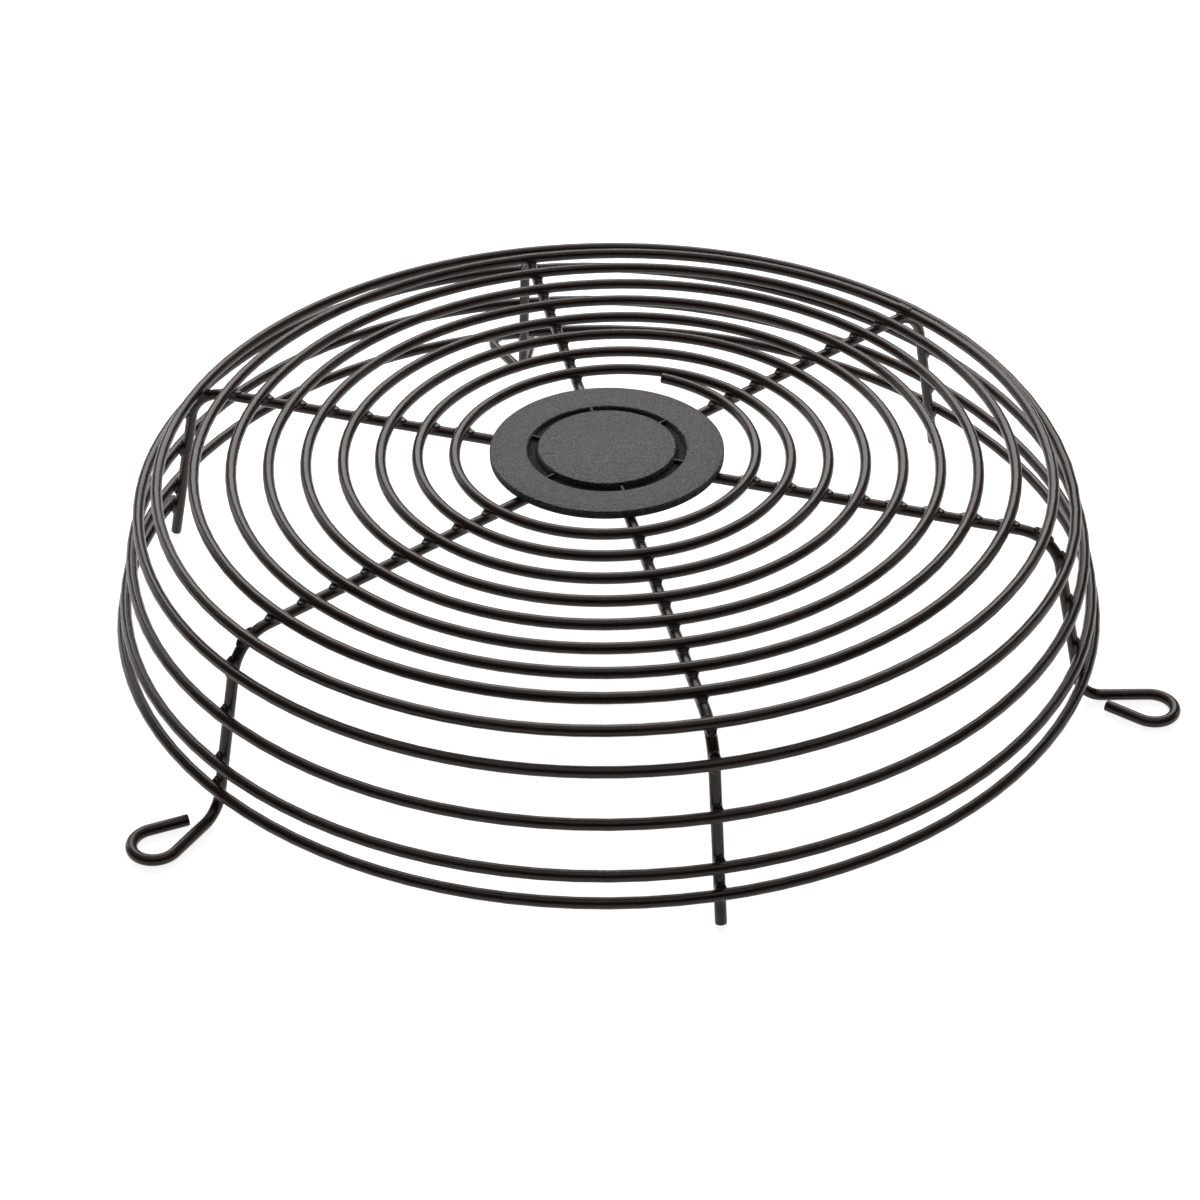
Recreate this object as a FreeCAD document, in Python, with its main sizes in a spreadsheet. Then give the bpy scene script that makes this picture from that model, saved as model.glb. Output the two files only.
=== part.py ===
import FreeCAD, Part
import math
import os

import Sketcher

# Wire fan guard: one spiral wire welded over six bent spoke wires, with a pressed plate at its hub.
# Frame: the origin is on the guard's axis, in the plane that it is screwed down on, and +Z points
# out of the face. Sizes are in millimetres and degrees.

os.makedirs("parts", exist_ok=True)
doc = FreeCAD.newDocument("wire_fan_guard")

SIZES = [
    ("wire_dia", 3.1, "diameter of every wire, with its coat"),
    ("guard_height", 56.0, "mounting plane to the hub plate's top"),
    ("weld_sink", 0.3, "how far crossing wires are pressed into each other"),
    ("hub_radius", 32.5, "outer radius of the hub plate"),
    ("hub_thickness", 2.4, "thickness of the hub plate"),
    ("hub_round", 0.5, "rounding of the plate's top edge"),
    ("groove_radius", 20.65, "middle of the ring groove pressed in the plate"),
    ("groove_width", 3.1, "width of the groove at the top"),
    ("groove_floor", 1.7, "width of the groove's floor"),
    ("groove_depth", 1.2, "depth of the groove"),
    ("pad_rise", 0.5, "how far the plate's middle stands above its rim"),
    ("spoke_inner", 14.0, "radius where a spoke ends under the hub plate"),
    ("corner_radius", 125.6, "radius where the lines of a spoke and its side leg meet"),
    ("corner_bend", 12.0, "bend radius between a spoke and its side leg"),
    ("side_lean", 12.7, "angle that the side leans outwards"),
    ("plain_clearance", 0.2, "a plain leg's end above the mounting plane"),
    ("end_round", 0.5, "rounding of a plain leg's end"),
    ("foot_bend", 7.0, "bend radius at the foot of an eyed leg"),
    ("eye_reach", 30.9, "from the corners' radius out to the circle that the screw eyes lie on"),
    ("eye_bore", 9.4, "free diameter of a screw eye"),
    ("eye_wrap", 217.5, "angle that the wire is wrapped round an eye"),
    ("eye_tail", 10.5, "straight run from the eye to the wire's cut end"),
    ("first_turn", 41.2, "radius where the spiral's first face turn starts"),
    ("last_turn_inset", 2.32, "how far inside the corners' radius the last face turn starts"),
    ("face_turns", 9, "turns of the spiral that lie on the face"),
    ("near_share", 0.11, "share of a step that is gained over a turn's first half"),
    ("side_drop_1", 9.8, "depth of the first side turn below the face turns"),
    ("side_drop_2", 13.7, "step down to the second side turn"),
    ("side_drop_3", 13.8, "step down to the third side turn"),
    ("side_drop_4", 7.3, "step down to the lowest side turn"),
    ("inner_spread", 1.2, "how much wider the inner end is curved than the first turn"),
    ("inner_sweep", 96.0, "angle that the inner end's curve runs"),
    ("outer_end", 190.5, "angle from the split line at which the lowest turn ends"),
    ("split_angle", -41.5, "angle on the guard of the line where a turn's halves meet"),
    ("first_leg", 30.0, "angle of the first spoke on the guard"),
]

sheet = doc.addObject("Spreadsheet::Sheet", "Sizes")
for row, (alias, number, note) in enumerate(SIZES, start=1):
    sheet.set("A%d" % row, note)
    sheet.set("B%d" % row, str(number))
    sheet.setAlias("B%d" % row, alias)
doc.recompute()


def size(alias):
    return float(sheet.get(alias))


def vec(x, y, z=0.0):
    return FreeCAD.Vector(x, y, z)


UP = vec(0, 0, 1)
LEGS = 6

# The centre line of a spoke and its side leg, in the leg's own upright plane

lean = math.radians(size("side_lean"))
spoke_level = size("guard_height") - size("hub_thickness") - size("wire_dia") / 2
bend_start = size("corner_radius") - size("corner_bend") * math.tan(math.pi / 4 - lean / 2)
bend_level = spoke_level - size("corner_bend")
SPOKE_LEVEL = "(Sizes.guard_height - Sizes.hub_thickness - Sizes.wire_dia / 2)"
BEND_START = "(Sizes.corner_radius - Sizes.corner_bend * tan(45 - Sizes.side_lean / 2))"
PLAIN_END = "(Sizes.plain_clearance + Sizes.wire_dia / 2 * sin(Sizes.side_lean))"


def leg_radius(level):
    """Radius of the leaning side leg's centre line at a level."""
    return size("corner_radius") + math.tan(lean) * (spoke_level - level)


# How the spiral lies on the spokes and legs: its centre line is one seat height off theirs

seat = size("wire_dia") - size("weld_sink")
seat_bend = size("corner_bend") + seat


def seat_level(radius):
    """Level of a turn of the spiral that lies on the spoke or on its bend at a radius."""
    past = radius - bend_start
    if past <= 0:
        return spoke_level + seat
    return bend_level + math.sqrt(seat_bend ** 2 - past ** 2)


def seat_radius(level):
    """Radius of a turn of the spiral that lies against the bend or the side leg at a level."""
    rise = level - bend_level
    if rise > seat_bend * math.sin(lean):
        return bend_start + math.sqrt(seat_bend ** 2 - rise ** 2)
    return leg_radius(level) + seat / math.cos(lean)


# General help for sketches and swept wires

def origin_plane(body, role):
    for feature in body.Origin.OriginFeatures:
        if feature.Role == role:
            return feature
    raise ValueError(role)


def add_sketch(body, name, role):
    sketch = body.newObject("Sketcher::SketchObject", name)
    sketch.AttachmentSupport = [(origin_plane(body, role), "")]
    sketch.MapMode = "FlatFace"
    return sketch


def drive(sketch, constraint, name, expression):
    """Adds a dimension to a sketch and binds it to the sheet."""
    index = sketch.addConstraint(constraint)
    sketch.renameConstraint(index, name)
    sketch.setExpression("Constraints." + name, expression)


def sweep_wire(name, edges):
    """Round wire along a chain of tangent edges."""
    path = doc.addObject("Part::Feature", name + "Path")
    path.Shape = Part.Wire(edges)
    first = edges[0]
    section = doc.addObject("Part::Circle", name + "Section")
    section.setExpression("Radius", "Sizes.wire_dia / 2")
    along = first.tangentAt(first.FirstParameter)
    section.Placement = FreeCAD.Placement(first.valueAt(first.FirstParameter), FreeCAD.Rotation(UP, along))
    swept = doc.addObject("Part::Sweep", name + "Wire")
    swept.Sections = [section]
    swept.Spine = (path, ["Edge%d" % number for number in range(1, len(edges) + 1)])
    swept.Solid = True
    swept.Frenet = False
    return swept


def edge_at(shape, centre):
    """Name of the round edge of a shape whose centre lies at a point."""
    for number, edge in enumerate(shape.Edges, start=1):
        if edge.BoundBox.Center.distanceToPoint(centre) < 0.01 and edge.isClosed():
            return "Edge%d" % number
    raise ValueError("no round edge there")


# Hub plate, turned about the axis: a flat rim, a ring groove pressed in it, and a raised middle

def hub_corners():
    """Corners of the half section, from the axis round the top to the underside."""
    top = size("guard_height")
    under = top - size("hub_thickness")
    half_top = size("groove_width") / 2
    half_floor = size("groove_floor") / 2
    return [
        (0.0, top + size("pad_rise")),
        (size("groove_radius") - half_top, top + size("pad_rise")),
        (size("groove_radius") - half_floor, top - size("groove_depth")),
        (size("groove_radius") + half_floor, top - size("groove_depth")),
        (size("groove_radius") + half_top, top),
        (size("hub_radius"), top),
        (size("hub_radius"), under),
        (0.0, under),
    ]


# What sets each corner's radius and level in turn, where its neighbours don't already

HUB_RADII = [
    None,
    "Sizes.groove_radius - Sizes.groove_width / 2",
    "Sizes.groove_radius - Sizes.groove_floor / 2",
    "Sizes.groove_radius + Sizes.groove_floor / 2",
    "Sizes.groove_radius + Sizes.groove_width / 2",
    "Sizes.hub_radius",
    None,
    None,
]
HUB_LEVELS = [
    "Sizes.guard_height + Sizes.pad_rise",
    None,
    "Sizes.guard_height - Sizes.groove_depth",
    None,
    "Sizes.guard_height",
    None,
    "Sizes.guard_height - Sizes.hub_thickness",
    None,
]


def make_hub_plate():
    body = doc.addObject("PartDesign::Body", "HubPlate")
    sketch = add_sketch(body, "HubSection", "XZ_Plane")
    corners = hub_corners()
    count = len(corners)
    for index in range(count):
        ends = vec(*corners[index]), vec(*corners[(index + 1) % count])
        sketch.addGeometry(Part.LineSegment(*ends), False)
    for index in range(count):
        sketch.addConstraint(Sketcher.Constraint("Coincident", index, 2, (index + 1) % count, 1))
    for index in (0, 2, 4, 6):
        sketch.addConstraint(Sketcher.Constraint("Horizontal", index))
    for index in (5, 7):
        sketch.addConstraint(Sketcher.Constraint("Vertical", index))
    sketch.addConstraint(Sketcher.Constraint("PointOnObject", 0, 1, -2))
    for index, rule in enumerate(HUB_LEVELS):
        if rule:
            level = Sketcher.Constraint("DistanceY", -1, 1, index, 1, corners[index][1])
            drive(sketch, level, "level_%d" % index, rule)
    for index, rule in enumerate(HUB_RADII):
        if rule:
            radius = Sketcher.Constraint("DistanceX", -1, 1, index, 1, corners[index][0])
            drive(sketch, radius, "radius_%d" % index, rule)
    doc.recompute()
    turned = body.newObject("PartDesign::Revolution", "HubTurned")
    turned.Profile = sketch
    turned.ReferenceAxis = (sketch, ["V_Axis"])
    turned.Angle = 360.0
    doc.recompute()
    rounded = body.newObject("PartDesign::Fillet", "HubRim")
    rounded.Base = (turned, [rim_edge(turned.Shape)])
    rounded.setExpression("Radius", "Sizes.hub_round")
    body.Tip = rounded
    body.Label = "hub_plate"
    return body


def rim_edge(shape):
    """Name of the circle round the plate's top edge."""
    for number, edge in enumerate(shape.Edges, start=1):
        box = edge.BoundBox
        wide = box.XLength > 2 * size("hub_radius") - 0.01
        if wide and box.ZLength < 0.01 and abs(box.ZMax - size("guard_height")) < 0.01:
            return "Edge%d" % number
    raise ValueError("no rim edge")


# Spiral wire, wound clockwise from its inner end: each turn is two half turns that meet on a split
# line, so that every join is tangent. The face turns step outwards over their back half, and the
# side turns step down over theirs.

def around(radius, angle, level):
    """A point at a radius, an angle round the spiral's own axis, and a level."""
    turn = math.radians(angle)
    return vec(radius * math.cos(turn), radius * math.sin(turn), level)


def half_turn(start, end):
    """A clockwise half turn in the plane that holds both ends and is level along its middle."""
    chord = end - start
    outwards = UP.cross(chord).normalize()
    return Part.Arc(start, (start + end) * 0.5 + outwards * (chord.Length / 2), end).toShape()


def level_arc(radius, level, start, end):
    """A clockwise arc about the axis, between two angles."""
    points = [around(radius, angle, level) for angle in (start, (start + end) / 2, end)]
    return Part.Arc(*points).toShape()


def inner_end():
    """The wire's inner end, curved wider than the first turn, so that it runs out towards the next."""
    bend = size("first_turn") + size("inner_spread")
    level = seat_level(size("first_turn"))
    centre = vec(-size("inner_spread"), 0, level)
    points = [centre + around(bend, size("inner_sweep") * part, 0) for part in (1, 0.5, 0)]
    return Part.Arc(*points).toShape()


def face_turn_ends(turn):
    """Where a face turn crosses the split line: at its start, and half a turn later."""
    last = size("corner_radius") - size("last_turn_inset")
    pitch = (last - size("first_turn")) / (size("face_turns") - 1)
    start = size("first_turn") + pitch * turn
    half = start + pitch * size("near_share")
    return vec(start, 0, seat_level(start)), vec(-half, 0, seat_level(half))


def step_down(start, start_angle, end, end_angle):
    """The wire's drop from the face to the side, level at both ends, between two neighbouring legs."""
    handle = 4 / 3 * math.tan(math.radians(start_angle - end_angle) / 4)
    leave = around(1, start_angle - 90, 0)
    arrive = around(1, end_angle - 90, 0)
    curve = Part.BezierCurve()
    radii = [math.hypot(point.x, point.y) for point in (start, end)]
    curve.setPoles([start, start + leave * (handle * radii[0]), end - arrive * (handle * radii[1]), end])
    return curve.toShape()


def make_spiral():
    turns = int(size("face_turns"))
    edges = [inner_end()]
    for turn in range(turns):
        start, half = face_turn_ends(turn)
        edges.append(half_turn(start, half))
        if turn < turns - 1:
            edges.append(half_turn(half, face_turn_ends(turn + 1)[0]))
    drop_end = (size("first_leg") - size("split_angle")) % (360 / LEGS)
    drop_start = drop_end + 360 / LEGS
    shoulder = -half.x
    level = spoke_level + seat - size("side_drop_1")
    radius = seat_radius(level)
    edges.append(level_arc(shoulder, half.z, 180, drop_start))
    start, end = around(shoulder, drop_start, half.z), around(radius, drop_end, level)
    edges.append(step_down(start, drop_start, end, drop_end))
    edges.append(level_arc(radius, level, drop_end, -180))
    for alias in ("side_drop_2", "side_drop_3", "side_drop_4"):
        above = vec(-radius, 0, level)
        level -= size(alias)
        radius = seat_radius(level)
        edges.append(half_turn(above, vec(radius, 0, level)))
        end = -180 if alias != "side_drop_4" else size("outer_end") - 360
        edges.append(level_arc(radius, level, 0, end))
    spiral = sweep_wire("Spiral", edges)
    spiral.Label = "spiral_wire"
    spiral.Placement = FreeCAD.Placement(vec(0, 0), FreeCAD.Rotation(UP, size("split_angle")))
    return spiral


# Spoke wires: each runs out under the face, bends down the side and ends plain or in a screw eye

def plain_leg_path(body):
    sketch = add_sketch(body, body.Name + "Path", "XZ_Plane")
    end_level = size("plain_clearance") + size("wire_dia") / 2 * math.sin(lean)
    centre = vec(bend_start, bend_level)
    bend = Part.ArcOfCircle(Part.Circle(centre, UP, size("corner_bend")), lean, math.pi / 2)
    bend_end = bend.StartPoint
    sketch.addGeometry(Part.LineSegment(vec(size("spoke_inner"), spoke_level), bend.EndPoint), False)
    sketch.addGeometry(bend, False)
    sketch.addGeometry(Part.LineSegment(bend_end, vec(leg_radius(end_level), end_level)), False)
    sketch.addConstraint(Sketcher.Constraint("Tangent", 0, 2, 1, 2))
    sketch.addConstraint(Sketcher.Constraint("Tangent", 1, 1, 2, 1))
    sketch.addConstraint(Sketcher.Constraint("Horizontal", 0))
    inner = size("spoke_inner")
    drive(sketch, Sketcher.Constraint("DistanceX", -1, 1, 0, 1, inner), "inner", "Sizes.spoke_inner")
    drive(sketch, Sketcher.Constraint("DistanceY", -1, 1, 0, 1, spoke_level), "spoke_level", SPOKE_LEVEL)
    drive(sketch, Sketcher.Constraint("DistanceX", -1, 1, 0, 2, bend_start), "bend_start", BEND_START)
    drive(sketch, Sketcher.Constraint("Radius", 1, size("corner_bend")), "bend", "Sizes.corner_bend")
    corner = Sketcher.Constraint("Angle", 0, 2, 2, 1, math.pi / 2 + lean)
    drive(sketch, corner, "corner", "(90 + Sizes.side_lean) * 1 deg")
    drive(sketch, Sketcher.Constraint("DistanceY", -1, 1, 2, 2, end_level), "end_level", PLAIN_END)
    return sketch, vec(leg_radius(end_level), 0, end_level)


def wire_section(body):
    """The wire's round section at the spoke's inner end."""
    sketch = add_sketch(body, body.Name + "Section", "YZ_Plane")
    sketch.setExpression("AttachmentOffset.Base.z", "Sizes.spoke_inner")
    sketch.addGeometry(Part.Circle(vec(0, spoke_level), UP, size("wire_dia") / 2), False)
    sketch.addConstraint(Sketcher.Constraint("PointOnObject", 0, 3, -2))
    drive(sketch, Sketcher.Constraint("DistanceY", -1, 1, 0, 3, spoke_level), "level", SPOKE_LEVEL)
    drive(sketch, Sketcher.Constraint("Diameter", 0, size("wire_dia")), "wire", "Sizes.wire_dia")
    return sketch


def make_plain_leg(number):
    body = doc.addObject("PartDesign::Body", "PlainLeg%d" % number)
    path, end = plain_leg_path(body)
    section = wire_section(body)
    doc.recompute()
    bent = body.newObject("PartDesign::AdditivePipe", body.Name + "Bent")
    bent.Profile = section
    bent.Spine = path
    doc.recompute()
    rounded = body.newObject("PartDesign::Fillet", body.Name + "End")
    rounded.Base = (bent, [edge_at(bent.Shape, end)])
    rounded.setExpression("Radius", "Sizes.end_round")
    body.Tip = rounded
    return body


def make_eye_leg(number):
    """The side leg bends outwards at its foot and runs tangent into an eye, wrapped clockwise."""
    foot_level = size("wire_dia") / 2
    eye_bend = (size("eye_bore") + size("wire_dia")) / 2
    foot = vec(leg_radius(foot_level), 0, foot_level)
    eye = vec(size("corner_radius") + size("eye_reach"), 0, foot_level)
    aside = math.asin(eye_bend / (eye.x - foot.x))
    down = vec(math.sin(lean), 0, -math.cos(lean))
    out = vec(math.cos(aside), math.sin(aside), 0)
    turn = down.getAngle(out)
    reach = size("foot_bend") * math.tan(turn / 2)
    inwards = (out - down).normalize()
    knee = foot + inwards * (size("foot_bend") / math.cos(turn / 2) - size("foot_bend"))
    bend_top = vec(bend_start, 0, spoke_level)
    bend_centre = vec(bend_start, 0, bend_level)
    bend_points = [
        bend_centre + vec(math.sin(angle), 0, math.cos(angle)) * size("corner_bend")
        for angle in (0, (math.pi / 2 - lean) / 2, math.pi / 2 - lean)
    ]
    wrap = math.radians(size("eye_wrap"))
    first = aside + math.pi / 2
    eye_points = [
        eye + vec(math.cos(first - wrap * part), math.sin(first - wrap * part), 0) * eye_bend
        for part in (0, 0.5, 1)
    ]
    back = vec(math.cos(aside - wrap), math.sin(aside - wrap), 0)
    edges = [
        Part.LineSegment(vec(size("spoke_inner"), 0, spoke_level), bend_top).toShape(),
        Part.Arc(*bend_points).toShape(),
        Part.LineSegment(bend_points[-1], foot - down * reach).toShape(),
        Part.Arc(foot - down * reach, knee, foot + out * reach).toShape(),
        Part.LineSegment(foot + out * reach, eye_points[0]).toShape(),
        Part.Arc(*eye_points).toShape(),
        Part.LineSegment(eye_points[-1], eye_points[-1] + back * size("eye_tail")).toShape(),
    ]
    return sweep_wire("EyeLeg%d" % number, edges)


def seat_leg(leg, angle, spiral, label):
    """Turns a leg to its place and presses the spiral's crossings into it."""
    leg.Placement = FreeCAD.Placement(vec(0, 0), FreeCAD.Rotation(UP, angle))
    seated = doc.addObject("Part::Cut", label.title().replace("_", ""))
    seated.Base = leg
    seated.Tool = spiral
    seated.Label = label
    return seated


hub_plate = make_hub_plate()
spiral_wire = make_spiral()
pieces = [hub_plate, spiral_wire]
for leg in range(LEGS):
    angle = size("first_leg") + 360 / LEGS * leg
    number = leg // 2 + 1
    if leg % 2 == 0:
        pieces.append(seat_leg(make_plain_leg(number), angle, spiral_wire, "plain_leg_%d" % number))
    else:
        pieces.append(seat_leg(make_eye_leg(number), angle, spiral_wire, "eye_leg_%d" % number))
doc.recompute()

for item in doc.Objects:
    for fault in ("Invalid", "Error"):
        if fault in item.State:
            raise RuntimeError("%s is in state %s" % (item.Name, fault))
for piece in pieces:
    if piece.Shape.isNull() or not piece.Shape.isValid():
        raise RuntimeError(piece.Label + " has no valid shape")
for piece in pieces:
    piece.Shape.exportStep("parts/%s.step" % piece.Label)
    print(piece.Label, len(piece.Shape.Solids), round(piece.Shape.Volume, 1))
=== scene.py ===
import math

import bpy
from mathutils import Matrix, Vector
from mathutils.geometry import interpolate_bezier


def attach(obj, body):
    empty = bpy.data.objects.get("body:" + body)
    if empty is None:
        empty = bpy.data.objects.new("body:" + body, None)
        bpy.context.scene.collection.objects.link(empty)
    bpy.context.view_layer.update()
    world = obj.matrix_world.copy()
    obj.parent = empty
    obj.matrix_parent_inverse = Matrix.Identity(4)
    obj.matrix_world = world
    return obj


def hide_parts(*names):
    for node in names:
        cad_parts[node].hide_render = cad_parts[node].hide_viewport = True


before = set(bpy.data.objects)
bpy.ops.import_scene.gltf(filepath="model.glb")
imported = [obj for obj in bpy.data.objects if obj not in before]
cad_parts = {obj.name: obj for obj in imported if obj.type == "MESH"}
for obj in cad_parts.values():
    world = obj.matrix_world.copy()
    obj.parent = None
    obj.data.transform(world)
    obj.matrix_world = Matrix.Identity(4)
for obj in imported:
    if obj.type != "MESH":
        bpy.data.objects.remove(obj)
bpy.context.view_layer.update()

# Plain spoke wires: three lengths of 3 mm mild steel wire, cut to length with their ends rolled over.
# Each runs out level under the face, is bent once over a former, and leans out down the side as a
# leg that rests on the surface the guard is screwed to.

MM = 0.001
WIRE = 3.1
PLAIN_ANGLES = (30, 150, 270)
SPOKE_START = 14
SPOKE_LEVEL = 52.05
CORNER = 125.6
CORNER_BEND = 12
LEAN = math.radians(12.7)
PLAIN_CLEARANCE = 0.2
END_ROUND = 0.5
SPAN_STEPS = 12
RING_STEPS = 8
DOUBLES = 0.01
COAT_DARK, COAT_LIGHT = "#3B2D26", "#44352D"
FILM_SIZE, PEEL_SIZE, GRAIN_SIZE = 14, 1.1, 0.35
PEEL_HEIGHT, GRAIN_HEIGHT = 0.03, 0.01
COAT_IOR = 1.36


def line(start, end):
    """A straight run as one Bezier span: its start, the two handles, and its end."""
    return [(start, start.lerp(end, 1 / 3), start.lerp(end, 2 / 3), end)]


def arc(centre, start, axis, angle):
    """A bend round an axis, as Bezier spans of 45 degrees at most."""
    count = math.ceil(angle / math.radians(45) - 1e-6)
    turn = Matrix.Rotation(angle / count, 3, axis)
    handle = 4 / 3 * math.tan(angle / count / 4)
    arm = start - centre
    spans = []
    for _ in range(count):
        swung = turn @ arm
        leave = centre + arm + axis.cross(arm) * handle
        arrive = centre + swung - axis.cross(swung) * handle
        spans.append((centre + arm, leave, arrive, centre + swung))
        arm = swung
    return spans


def draw_wire(name, spans, end_round):
    """A round wire along Bezier spans in millimetres, with the edges of its ends rounded."""
    bpy.ops.object.select_all(action="DESELECT")
    bpy.ops.curve.primitive_bezier_curve_add()
    wire = bpy.context.object
    wire.name = name
    knots = wire.data.splines[0].bezier_points
    knots.add(len(spans) - 1)
    for knot in knots:
        knot.handle_left_type = knot.handle_right_type = "FREE"
    for index, (start, leave, arrive, end) in enumerate(spans):
        knots[index].co = start * MM
        knots[index].handle_right = leave * MM
        knots[index + 1].handle_left = arrive * MM
        knots[index + 1].co = end * MM
    knots[0].handle_left = knots[0].co
    knots[-1].handle_right = knots[-1].co
    wire.data.resolution_u = SPAN_STEPS
    wire.data.bevel_depth = WIRE / 2 * MM
    wire.data.bevel_resolution = RING_STEPS
    wire.data.use_fill_caps = True
    bpy.ops.object.convert(target="MESH")
    bpy.ops.object.mode_set(mode="EDIT")
    bpy.ops.mesh.select_all(action="SELECT")
    bpy.ops.mesh.remove_doubles(threshold=DOUBLES * MM)
    bpy.ops.mesh.normals_make_consistent(inside=False)
    bpy.ops.object.mode_set(mode="OBJECT")
    rounding = wire.modifiers.new("rounded ends", "BEVEL")
    rounding.limit_method = "ANGLE"
    rounding.angle_limit = math.radians(60)
    rounding.width = end_round * MM
    rounding.segments = 3
    bpy.ops.object.modifier_apply(modifier=rounding.name)
    bpy.ops.object.shade_smooth_by_angle(angle=math.radians(40))
    return wire


def hex_colour(code):
    """An sRGB hex code as a linear colour."""
    shares = [int(code[place:place + 2], 16) / 255 for place in (1, 3, 5)]
    return [s / 12.92 if s <= 0.04045 else ((s + 0.055) / 1.055) ** 2.4 for s in shares] + [1]


def add_node(material, kind, inputs, **settings):
    """Adds a shader node. An input is a value, or an output that is linked to it."""
    node = material.node_tree.nodes.new(kind)
    for name, value in settings.items():
        setattr(node, name, value)
    for socket, value in inputs.items():
        if isinstance(value, bpy.types.NodeSocket):
            material.node_tree.links.new(value, node.inputs[socket])
        else:
            node.inputs[socket].default_value = value
    return node


def empty_material(name):
    """A material whose node tree holds nothing yet."""
    material = bpy.data.materials.new(name)
    material.use_nodes = True
    material.node_tree.nodes.clear()
    return material


def noise(material, place, size, detail, roughness=0.5):
    """Noise in patches about so many millimetres across."""
    node = add_node(material, "ShaderNodeTexNoise", {
        "Vector": place, "Scale": 1 / (size * MM), "Detail": detail, "Roughness": roughness})
    return node.outputs["Fac"]


def spread(material, value, low, high, start, end):
    """Turns a value between low and high into one between start and end."""
    node = add_node(material, "ShaderNodeMapRange", {
        "Value": value, "From Min": low, "From Max": high, "To Min": start, "To Max": end})
    return node.outputs["Result"]


def tint(material, value, margin, dark, light):
    """A colour from dark to light, as a value goes from the margin to one less the margin."""
    ramp = add_node(material, "ShaderNodeValToRGB", {"Fac": value})
    ramp.color_ramp.elements[0].position = margin
    ramp.color_ramp.elements[0].color = hex_colour(dark)
    ramp.color_ramp.elements[1].position = 1 - margin
    ramp.color_ramp.elements[1].color = hex_colour(light)
    return ramp.outputs["Color"]


# Black polyester powder coat on wire: a semi-gloss film that flows smooth round the wire, brownish in
# the light, with a shallow orange peel about 1 mm across and a little pigment grain.
wire_coat = empty_material("black_powder_coat_on_wire")
place = add_node(wire_coat, "ShaderNodeTexCoord", {}).outputs["Object"]
film = noise(wire_coat, place, FILM_SIZE, 3)
peel = noise(wire_coat, place, PEEL_SIZE, 2)
grain = noise(wire_coat, place, GRAIN_SIZE, 1)
waves = add_node(wire_coat, "ShaderNodeBump", {
    "Height": peel, "Strength": 0.35, "Distance": PEEL_HEIGHT * MM})
bumps = add_node(wire_coat, "ShaderNodeBump", {
    "Height": grain, "Strength": 0.3, "Distance": GRAIN_HEIGHT * MM, "Normal": waves.outputs["Normal"]})
coat = add_node(wire_coat, "ShaderNodeBsdfPrincipled", {
    "Base Color": tint(wire_coat, film, 0.35, COAT_DARK, COAT_LIGHT),
    "Roughness": spread(wire_coat, film, 0.3, 0.7, 0.24, 0.32),
    "IOR": COAT_IOR,
    "Normal": bumps.outputs["Normal"]})
add_node(wire_coat, "ShaderNodeOutputMaterial", {"Surface": coat.outputs["BSDF"]})


def set_out(pattern, name, node, angles):
    """Copies a bent spoke wire to its places round the axis, each in the place of its CAD node."""
    spokes = []
    for number, angle in enumerate(angles, start=1):
        spoke = pattern.copy()
        spoke.data = pattern.data.copy()
        spoke.name = "%s_%d" % (name, number)
        spoke.data.transform(Matrix.Rotation(math.radians(angle), 4, "Z"))
        spoke.data.materials.append(wire_coat)
        bpy.context.collection.objects.link(spoke)
        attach(spoke, "root")
        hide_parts("%s_%d" % (node, number))
        spokes.append((spoke, angle))
    bpy.data.objects.remove(pattern)
    return spokes


bend_start = CORNER - CORNER_BEND * math.tan(math.radians(45) - LEAN / 2)
bend_centre = Vector((bend_start, 0, SPOKE_LEVEL - CORNER_BEND))
bend_top = bend_centre + Vector((0, 0, CORNER_BEND))
corner = arc(bend_centre, bend_top, Vector((0, 1, 0)), math.radians(90) - LEAN)
corner_end = corner[-1][3]
spoke_run = line(Vector((SPOKE_START, 0, SPOKE_LEVEL)), bend_top) + corner
down = Vector((math.sin(LEAN), 0, -math.cos(LEAN)))
plain_end = PLAIN_CLEARANCE + WIRE / 2 * math.sin(LEAN)
leg_end = corner_end + down * ((corner_end.z - plain_end) / math.cos(LEAN))
plain_wire = draw_wire("plain_spoke", spoke_run + line(corner_end, leg_end), END_ROUND)
plain_spokes = set_out(plain_wire, "plain_spoke", "plain_leg", PLAIN_ANGLES)

# Eyed spoke wires: the other three lengths of the same wire, longer, with the foot turned outwards and
# wrapped round a pin into an open screw eye. The wire runs out along one side of the eye and comes
# back across its mouth to a sheared end.

EYE_ANGLES = (90, 210, 330)
FOOT_BEND = 7
EYE_REACH = 30.9
EYE_BORE = 9.4
EYE_WRAP = math.radians(217.5)
EYE_TAIL = 10.5
CUT_ROUND = 0.15

eye_bend = (EYE_BORE + WIRE) / 2
foot = corner_end + down * ((corner_end.z - WIRE / 2) / math.cos(LEAN))
eye_centre = Vector((CORNER + EYE_REACH, 0, WIRE / 2))
aside = math.asin(eye_bend / (eye_centre.x - foot.x))
out = Vector((math.cos(aside), math.sin(aside), 0))
foot_turn = down.angle(out)
reach = FOOT_BEND * math.tan(foot_turn / 2)
foot_centre = foot + (out - down).normalized() * (FOOT_BEND / math.cos(foot_turn / 2))
foot_arc = arc(foot_centre, foot - down * reach, down.cross(out).normalized(), foot_turn)
eye_start = eye_centre + Vector((-math.sin(aside), math.cos(aside), 0)) * eye_bend
eye_arc = arc(eye_centre, eye_start, Vector((0, 0, -1)), EYE_WRAP)
eye_end = eye_arc[-1][3]
back = Vector((math.cos(aside - EYE_WRAP), math.sin(aside - EYE_WRAP), 0))
eye_path = spoke_run + line(corner_end, foot - down * reach) + foot_arc
eye_path += line(foot + out * reach, eye_start) + eye_arc + line(eye_end, eye_end + back * EYE_TAIL)
eye_wire = draw_wire("eyed_spoke", eye_path, CUT_ROUND)
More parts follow.
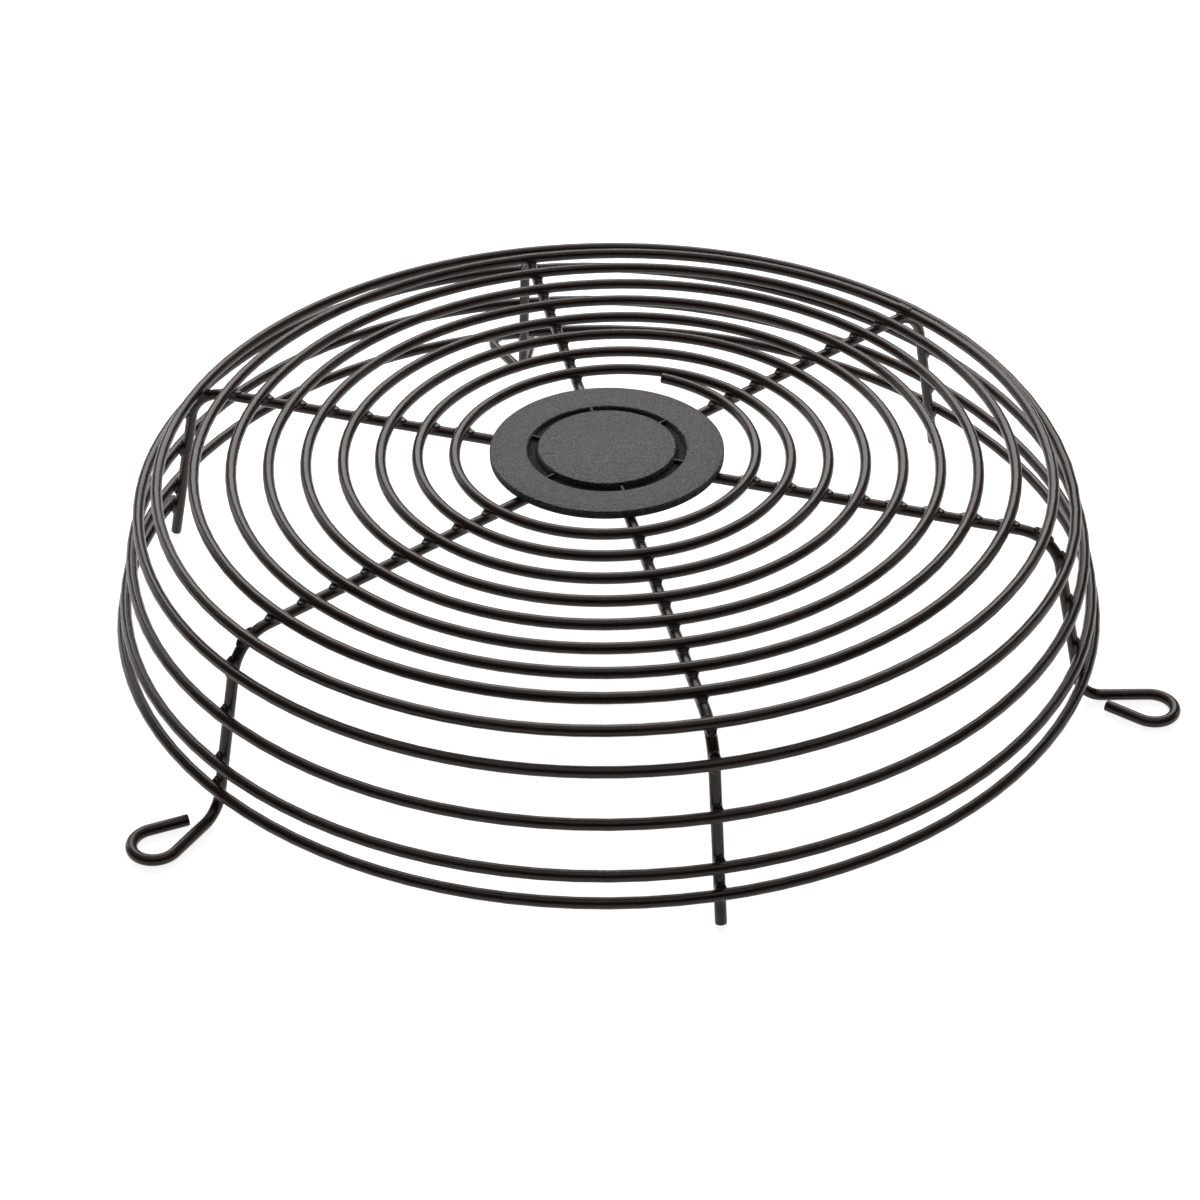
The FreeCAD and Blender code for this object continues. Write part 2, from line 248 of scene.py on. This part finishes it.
eyed_spokes = set_out(eye_wire, "eyed_spoke", "eye_leg", EYE_ANGLES)

# Spiral wire: one length of the same wire, about 7.8 m, wound clockwise from its inner end on a
# former. Nine turns lie on the face and step outwards over their back half, and the wire then drops
# between two spokes and goes on round the side in four lower turns.

SPLIT_ANGLE = -41.5
FIRST_TURN = 41.2
LAST_TURN_INSET = 2.32
FACE_TURNS = 9
NEAR_SHARE = 0.11
SIDE_DROPS = (9.8, 13.7, 13.8, 7.3)
INNER_SPREAD = 1.2
INNER_SWEEP = math.radians(96)
OUTER_END = 190.5
DROP_FROM, DROP_TO = 71.5, 11.5
WELD_SINK = 0.3
SEAT = WIRE - WELD_SINK
FACE_PITCH = (CORNER - LAST_TURN_INSET - FIRST_TURN) / (FACE_TURNS - 1)
Z_AXIS = Vector((0, 0, 1))


def seat_level(radius):
    """Level of a turn that lies on the spokes, or on their bends, at a radius."""
    past = max(radius - bend_centre.x, 0)
    return bend_centre.z + math.sqrt((CORNER_BEND + SEAT) ** 2 - past ** 2)


def seat_radius(level):
    """Radius of a turn that lies against the spokes' bends or legs at a level."""
    rise = level - bend_centre.z
    if rise > (CORNER_BEND + SEAT) * math.sin(LEAN):
        return bend_centre.x + math.sqrt((CORNER_BEND + SEAT) ** 2 - rise ** 2)
    return CORNER + math.tan(LEAN) * (SPOKE_LEVEL - level) + SEAT / math.cos(LEAN)


def around(radius, degrees, level):
    """A point at a radius, an angle and a level."""
    angle = math.radians(degrees)
    return Vector((radius * math.cos(angle), radius * math.sin(angle), level))


def half_turn(start, end):
    """A clockwise half turn that is level along its middle."""
    centre = (start + end) / 2
    outwards = Z_AXIS.cross(end - start)
    return arc(centre, start, (start - centre).cross(outwards).normalized(), math.pi)


def level_arc(radius, level, start, end):
    """A clockwise arc about the axis, from one angle to another."""
    return arc(Vector((0, 0, level)), around(radius, start, level), -Z_AXIS, math.radians(start - end))


inner_centre = Vector((-INNER_SPREAD, 0, seat_level(0)))
inner_start = inner_centre + around(FIRST_TURN + INNER_SPREAD, math.degrees(INNER_SWEEP), 0)
spiral_path = arc(inner_centre, inner_start, -Z_AXIS, INNER_SWEEP)
for turn in range(FACE_TURNS):
    radius = FIRST_TURN + FACE_PITCH * turn
    half = radius + FACE_PITCH * NEAR_SHARE
    following = radius + FACE_PITCH
    left = Vector((-half, 0, seat_level(half)))
    spiral_path += half_turn(Vector((radius, 0, seat_level(radius))), left)
    if turn < FACE_TURNS - 1:
        spiral_path += half_turn(left, Vector((following, 0, seat_level(following))))
level = SPOKE_LEVEL + SEAT - SIDE_DROPS[0]
radius = seat_radius(level)
drop_start, drop_end = around(half, DROP_FROM, left.z), around(radius, DROP_TO, level)
handle = 4 / 3 * math.tan(math.radians(DROP_FROM - DROP_TO) / 4)
leave = drop_start + around(half * handle, DROP_FROM - 90, 0)
arrive = drop_end - around(radius * handle, DROP_TO - 90, 0)
spiral_path += level_arc(half, left.z, 180, DROP_FROM)
spiral_path += [(drop_start, leave, arrive, drop_end)]
spiral_path += level_arc(radius, level, DROP_TO, -180)
for drop in SIDE_DROPS[1:]:
    above = Vector((-radius, 0, level))
    level -= drop
    radius = seat_radius(level)
    spiral_path += half_turn(above, Vector((radius, 0, level)))
    last = OUTER_END - 360 if drop == SIDE_DROPS[-1] else -180
    spiral_path += level_arc(radius, level, 0, last)
spiral = draw_wire("wound_spiral", spiral_path, CUT_ROUND)
spiral.data.transform(Matrix.Rotation(math.radians(SPLIT_ANGLE), 4, "Z"))
spiral.data.materials.append(wire_coat)
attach(spiral, "root")
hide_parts("spiral_wire")

# Resistance welds: wherever the spiral crosses a spoke the two wires are pressed 0.3 mm into each
# other under the electrodes, and the hot steel is squeezed out as a small web in the corners. The
# coat covers them, so they are the same black. Each spoke carries its own.

STUB_RADIUS, STUB_LENGTH = 1.5, 5.5
WEB_LENGTH, WEB_WIDTH, WEB_DEPTH = 6.4, 3.2, 2.0
WEB_DROP = 0.5
MELT_GRAIN = 0.2
MELT_ROUNDS = 16
FACES_KEPT = 0.12

bpy.ops.object.select_all(action="DESELECT")
bpy.ops.mesh.primitive_cylinder_add(
    vertices=24, radius=STUB_RADIUS * MM, depth=STUB_LENGTH * MM,
    location=(0, 0, SEAT / 2 * MM), rotation=(math.pi / 2, 0, 0))
weld = bpy.context.object
bpy.ops.mesh.primitive_cylinder_add(
    vertices=24, radius=STUB_RADIUS * MM, depth=STUB_LENGTH * MM,
    location=(0, 0, -SEAT / 2 * MM), rotation=(0, math.pi / 2, 0))
spoke_stub = bpy.context.object
bpy.ops.mesh.primitive_cylinder_add(
    vertices=24, radius=0.5 * MM, depth=WEB_DEPTH * MM,
    location=(0, 0, -WEB_DROP * MM), scale=(WEB_LENGTH, WEB_WIDTH, 1))
squeezed = bpy.context.object
for part in (weld, spoke_stub, squeezed):
    part.select_set(True)
bpy.context.view_layer.objects.active = weld
bpy.ops.object.join()
bpy.ops.object.transform_apply(location=True, rotation=True, scale=True)
fusing = weld.modifiers.new("fused", "REMESH")
fusing.mode = "VOXEL"
fusing.voxel_size = MELT_GRAIN * MM
bpy.ops.object.modifier_apply(modifier=fusing.name)
melting = weld.modifiers.new("melted", "SMOOTH")
melting.factor = 0.5
melting.iterations = MELT_ROUNDS
bpy.ops.object.modifier_apply(modifier=melting.name)
thinning = weld.modifiers.new("thinned", "DECIMATE")
thinning.ratio = FACES_KEPT
bpy.ops.object.modifier_apply(modifier=thinning.name)
bpy.ops.object.shade_smooth()
weld.data.materials.append(wire_coat)

turn = Matrix.Rotation(math.radians(SPLIT_ANGLE), 3, "Z")
wound = [turn @ point for span in spiral_path for point in interpolate_bezier(*span, 13)]


def nearest_on_spoke(point):
    """The point of a spoke's centre line under the spiral, in the spoke's own upright plane."""
    if point.x < bend_centre.x:
        return Vector((point.x, 0, SPOKE_LEVEL))
    along = (point - corner_end).dot(down)
    if along > 0:
        return corner_end + down * along
    return bend_centre + (point - bend_centre).normalized() * CORNER_BEND


for spoke, angle in plain_spokes + eyed_spokes:
    to_spoke = Matrix.Rotation(-math.radians(angle), 3, "Z")
    line_up = [to_spoke @ point for point in wound]
    bpy.ops.object.select_all(action="DESELECT")
    for start, end in zip(line_up, line_up[1:]):
        if start.x > 0 and (start.y > 0) != (end.y > 0):
            crossing = start.lerp(end, start.y / (start.y - end.y))
            crossing.y = 0
            under = nearest_on_spoke(crossing)
            normal = (crossing - under).normalized()
            side = Vector((0, 1, 0))
            axes = Matrix((side.cross(normal), side, normal)).transposed().to_4x4()
            middle = Matrix.Translation((crossing + under) / 2 * MM)
            web = weld.copy()
            web.data = weld.data.copy()
            web.data.transform(Matrix.Rotation(math.radians(angle), 4, "Z") @ middle @ axes)
            bpy.context.collection.objects.link(web)
            web.select_set(True)
    spoke.select_set(True)
    bpy.context.view_layer.objects.active = spoke
    bpy.ops.object.join()
bpy.data.objects.remove(weld)

# Hub plate: a disc of 2.4 mm sheet steel, blanked and pressed in one stroke, with a ring groove that
# stiffens it and a middle that stands proud of the rim. It is welded on the spokes' inner ends, where
# small ribs are left across the groove.

HUB_RADIUS = 32.5
HUB_TOP = 56
HUB_THICKNESS = 2.4
GROOVE_RADIUS = 20.65
GROOVE_WIDTH = 3.1
GROOVE_FLOOR = 1.7
GROOVE_DEPTH = 1.2
GROOVE_SLOPE = (GROOVE_WIDTH - GROOVE_FLOOR) / 2
PAD_RISE = 0.5
PRESS_ROUND = 0.32
RIB_RADIUS, RIB_LENGTH = 0.5, 3.0
SHEET_DARK, SHEET_LIGHT = "#2B2629", "#363033"
# The groove colour is a near-black painted shade for the groove and the plate's edge.
GROOVE_SHADE_COLOUR, SCRATCH_COLOUR = "#0B0909", "#141110"
SMUDGE_SIZE, SAND_SIZE, SAND_HEIGHT = 9, 0.8, 0.4
SCRATCH_TURN = math.radians(62)
SHEET_IOR = 1.43

bpy.ops.object.select_all(action="DESELECT")
bpy.ops.mesh.primitive_cylinder_add(
    vertices=160, radius=HUB_RADIUS * MM, depth=HUB_THICKNESS * MM,
    location=(0, 0, (HUB_TOP - HUB_THICKNESS / 2) * MM))
hub = bpy.context.object
hub.name = "pressed_hub"
bpy.ops.object.transform_apply(location=True, rotation=True, scale=True)
bpy.ops.object.mode_set(mode="EDIT")
bpy.ops.mesh.select_mode(type="FACE")
bpy.ops.mesh.select_all(action="DESELECT")
bpy.ops.object.mode_set(mode="OBJECT")
for face in hub.data.polygons:
    face.select = face.normal.z > 0.9
bpy.ops.object.mode_set(mode="EDIT")
bpy.ops.mesh.inset(thickness=(HUB_RADIUS - GROOVE_RADIUS - GROOVE_WIDTH / 2) * MM)
bpy.ops.mesh.inset(thickness=GROOVE_SLOPE * MM, depth=-GROOVE_DEPTH * MM)
bpy.ops.mesh.inset(thickness=GROOVE_FLOOR * MM)
bpy.ops.mesh.inset(thickness=GROOVE_SLOPE * MM, depth=(GROOVE_DEPTH + PAD_RISE) * MM)
bpy.ops.mesh.select_mode(type="EDGE")
bpy.ops.mesh.select_all(action="DESELECT")
bpy.ops.mesh.edges_select_sharp(sharpness=math.radians(30))
bpy.ops.mesh.bevel(offset=PRESS_ROUND * MM, segments=3, profile=0.5)
bpy.ops.object.mode_set(mode="OBJECT")
bpy.ops.object.shade_smooth_by_angle(angle=math.radians(35))

ribs = []
for angle in PLAIN_ANGLES + EYE_ANGLES:
    middle = around(GROOVE_RADIUS, angle, HUB_TOP - GROOVE_DEPTH / 2) * MM
    bpy.ops.mesh.primitive_cylinder_add(
        vertices=16, radius=RIB_RADIUS * MM, depth=RIB_LENGTH * MM, location=middle,
        rotation=(0, math.pi / 2, math.radians(angle)))
    bpy.ops.object.transform_apply(location=True, rotation=True, scale=True)
    bpy.ops.object.shade_smooth_by_angle(angle=math.radians(40))
    ribs.append(bpy.context.object)
for rib in ribs:
    rib.select_set(True)
hub.select_set(True)
bpy.context.view_layer.objects.active = hub
bpy.ops.object.join()


def mix_colours(material, share, first, second):
    """Two colours mixed. The node's colour sockets are numbers 6 and 7, and its colour is number 2."""
    node = add_node(material, "ShaderNodeMix", {"Factor": share, 6: first, 7: second}, data_type="RGBA")
    return node.outputs[2]


# The same black powder coat where it lies flat and thicker: a satin film with a sandy grain about
# 0.8 mm across, faint smudges from handling, and one long scratch on the middle. Everything lower than
# just under the rim's top, that is the groove, the plate's edge and its underside, is made dull, and
# its colour is darkened to near-black as painted shade.
hub_coat = empty_material("black_powder_coat_on_sheet")
place = add_node(hub_coat, "ShaderNodeTexCoord", {}).outputs["Object"]
smudge = noise(hub_coat, place, SMUDGE_SIZE, 4, 0.6)
sand = noise(hub_coat, place, SAND_SIZE, 2, 0.6)
grained = add_node(hub_coat, "ShaderNodeVectorMath", {
    0: tint(hub_coat, smudge, 0.3, SHEET_DARK, SHEET_LIGHT),
    "Scale": spread(hub_coat, sand, 0.35, 0.65, 0.3, 2.2)}, operation="SCALE")
on_scratch = add_node(hub_coat, "ShaderNodeMapping", {
    "Vector": place, "Rotation": (0, 0, SCRATCH_TURN)}, vector_type="POINT")
across = add_node(hub_coat, "ShaderNodeSeparateXYZ", {"Vector": on_scratch.outputs["Vector"]})
off_line = add_node(hub_coat, "ShaderNodeMath", {0: across.outputs["Y"]}, operation="ABSOLUTE")
off_middle = add_node(hub_coat, "ShaderNodeMath", {0: across.outputs["X"]}, operation="ABSOLUTE")
thin = spread(hub_coat, off_line.outputs[0], 0.08 * MM, 0.3 * MM, 1, 0)
short = spread(hub_coat, off_middle.outputs[0], 8 * MM, 13 * MM, 1, 0)
scratch = add_node(hub_coat, "ShaderNodeMath", {0: thin, 1: short}, operation="MULTIPLY")
marked = mix_colours(hub_coat, scratch.outputs[0], grained.outputs["Vector"], hex_colour(SCRATCH_COLOUR))
level = add_node(hub_coat, "ShaderNodeSeparateXYZ", {"Vector": place}).outputs["Z"]
# Painted shade: faces below the rim's top, in the groove and on the plate's edge, turn near-black, and are
# also made rougher.
matt_and_painted_shade = spread(hub_coat, level, (HUB_TOP - 0.8) * MM, (HUB_TOP - 0.15) * MM, 1, 0)
gloss = add_node(hub_coat, "ShaderNodeMath", {
    0: matt_and_painted_shade, 1: 0.4, 2: spread(hub_coat, sand, 0.35, 0.65, 0.36, 0.54)}, operation="MULTIPLY_ADD")
bumps = add_node(hub_coat, "ShaderNodeBump", {"Height": sand, "Strength": 1, "Distance": SAND_HEIGHT * MM})
coat = add_node(hub_coat, "ShaderNodeBsdfPrincipled", {
    "Base Color": mix_colours(hub_coat, matt_and_painted_shade, marked, hex_colour(GROOVE_SHADE_COLOUR)),
    "Roughness": gloss.outputs[0],
    "IOR": SHEET_IOR,
    "Normal": bumps.outputs["Normal"]})
add_node(hub_coat, "ShaderNodeOutputMaterial", {"Surface": coat.outputs["BSDF"]})
hub.data.materials.append(hub_coat)
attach(hub, "root")
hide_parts("hub_plate")

# Studio: a white paper floor in a white surround, a large soft lamp above and behind, and a small one
# on each side that draws the light band along the wires. A tall ring of black felt, which the camera
# doesn't see, keeps the white surround out of the wires' reflections.

FLOOR_RADIUS = 1.8
FLOOR_DROP = 0.2
FLOOR_GLOW = 0.87
PAPER_WHITE = 0.85
SURROUND_LIGHT = 0.3
FLAG_RADIUS, FLAG_HEIGHT = 1.9, 2.8
FELT_COLOUR = "#1C1A19"
CAMERA_PLACE = (-0.1295, -0.6367, 0.4623)
CAMERA_TURN, CAMERA_TILT, CAMERA_ROLL = -11.288, 54.82, -0.6245
CAMERA_LENS = 82.86


def seen_rays(holder):
    """One for a ray from the camera, a shiny surface or a clear one, and nought for any other."""
    ray = add_node(holder, "ShaderNodeLightPath", {})
    seen = add_node(holder, "ShaderNodeMath", {
        0: ray.outputs["Is Camera Ray"], 1: ray.outputs["Is Glossy Ray"]}, operation="MAXIMUM")
    seen = add_node(holder, "ShaderNodeMath", {
        0: seen.outputs[0], 1: ray.outputs["Is Transmission Ray"]}, operation="MAXIMUM")
    return seen.outputs[0]


bpy.ops.object.select_all(action="DESELECT")
bpy.ops.mesh.primitive_circle_add(
    vertices=96, radius=FLOOR_RADIUS, fill_type="NGON", location=(0, 0, -FLOOR_DROP * MM))
floor = bpy.context.object
floor.name = "floor"
paper = empty_material("white_paper")
glow = add_node(paper, "ShaderNodeMath", {0: seen_rays(paper), 1: FLOOR_GLOW}, operation="MULTIPLY")
lit = add_node(paper, "ShaderNodeEmission", {"Strength": glow.outputs[0]})
matt = add_node(paper, "ShaderNodeBsdfDiffuse", {"Color": (PAPER_WHITE, PAPER_WHITE, PAPER_WHITE, 1)})
both = add_node(paper, "ShaderNodeAddShader", {0: matt.outputs[0], 1: lit.outputs[0]})
add_node(paper, "ShaderNodeOutputMaterial", {"Surface": both.outputs[0]})
floor.data.materials.append(paper)

surround = bpy.data.worlds.new("white_surround")
bpy.context.scene.world = surround
surround.use_nodes = True
surround.node_tree.nodes.clear()
strength = add_node(surround, "ShaderNodeMath", {
    0: seen_rays(surround), 1: 1 - SURROUND_LIGHT, 2: SURROUND_LIGHT}, operation="MULTIPLY_ADD")
sky = add_node(surround, "ShaderNodeBackground", {"Color": (1, 1, 1, 1), "Strength": strength.outputs[0]})
add_node(surround, "ShaderNodeOutputWorld", {"Surface": sky.outputs[0]})

bpy.ops.object.select_all(action="DESELECT")
bpy.ops.mesh.primitive_cylinder_add(
    vertices=96, radius=FLAG_RADIUS, depth=FLAG_HEIGHT, end_fill_type="NOTHING",
    location=(0, 0, FLAG_HEIGHT / 2))
flag = bpy.context.object
flag.name = "black_flag"
bpy.ops.object.transform_apply(location=True, rotation=True, scale=True)
flag.visible_camera = False
felt = empty_material("black_felt")
nap = add_node(felt, "ShaderNodeBsdfDiffuse", {"Color": hex_colour(FELT_COLOUR)})
add_node(felt, "ShaderNodeOutputMaterial", {"Surface": nap.outputs[0]})
flag.data.materials.append(felt)


def hang_lamp(name, place, width, height, power):
    """A soft rectangular lamp that faces the guard."""
    lamp = bpy.data.objects.new(name, bpy.data.lights.new(name, "AREA"))
    lamp.data.shape = "RECTANGLE"
    lamp.data.size, lamp.data.size_y = width, height
    lamp.data.energy = power
    lamp.location = place
    lamp.rotation_euler = (-Vector(place)).to_track_quat("-Z", "Y").to_euler()
    bpy.context.collection.objects.link(lamp)


hang_lamp("back_lamp", (0.25, 1.3, 1.1), 1.6, 1.0, 24)
hang_lamp("left_lamp", (-1.0, 1.1, 0.35), 0.4, 0.9, 3)
hang_lamp("right_lamp", (1.45, 0.1, 0.3), 0.3, 0.9, 1.5)

camera = bpy.data.objects.new("camera", bpy.data.cameras.new("camera"))
camera.data.lens = CAMERA_LENS
camera.data.clip_start = 0.05
camera.data.clip_end = 20
aim = Matrix.Rotation(math.radians(CAMERA_TURN), 4, "Z") @ Matrix.Rotation(math.radians(CAMERA_TILT), 4, "X")
aim = aim @ Matrix.Rotation(math.radians(CAMERA_ROLL), 4, "Z")
camera.matrix_world = Matrix.Translation(CAMERA_PLACE) @ aim
bpy.context.collection.objects.link(camera)
bpy.context.scene.camera = camera
bpy.context.scene.view_settings.view_transform = "Standard"
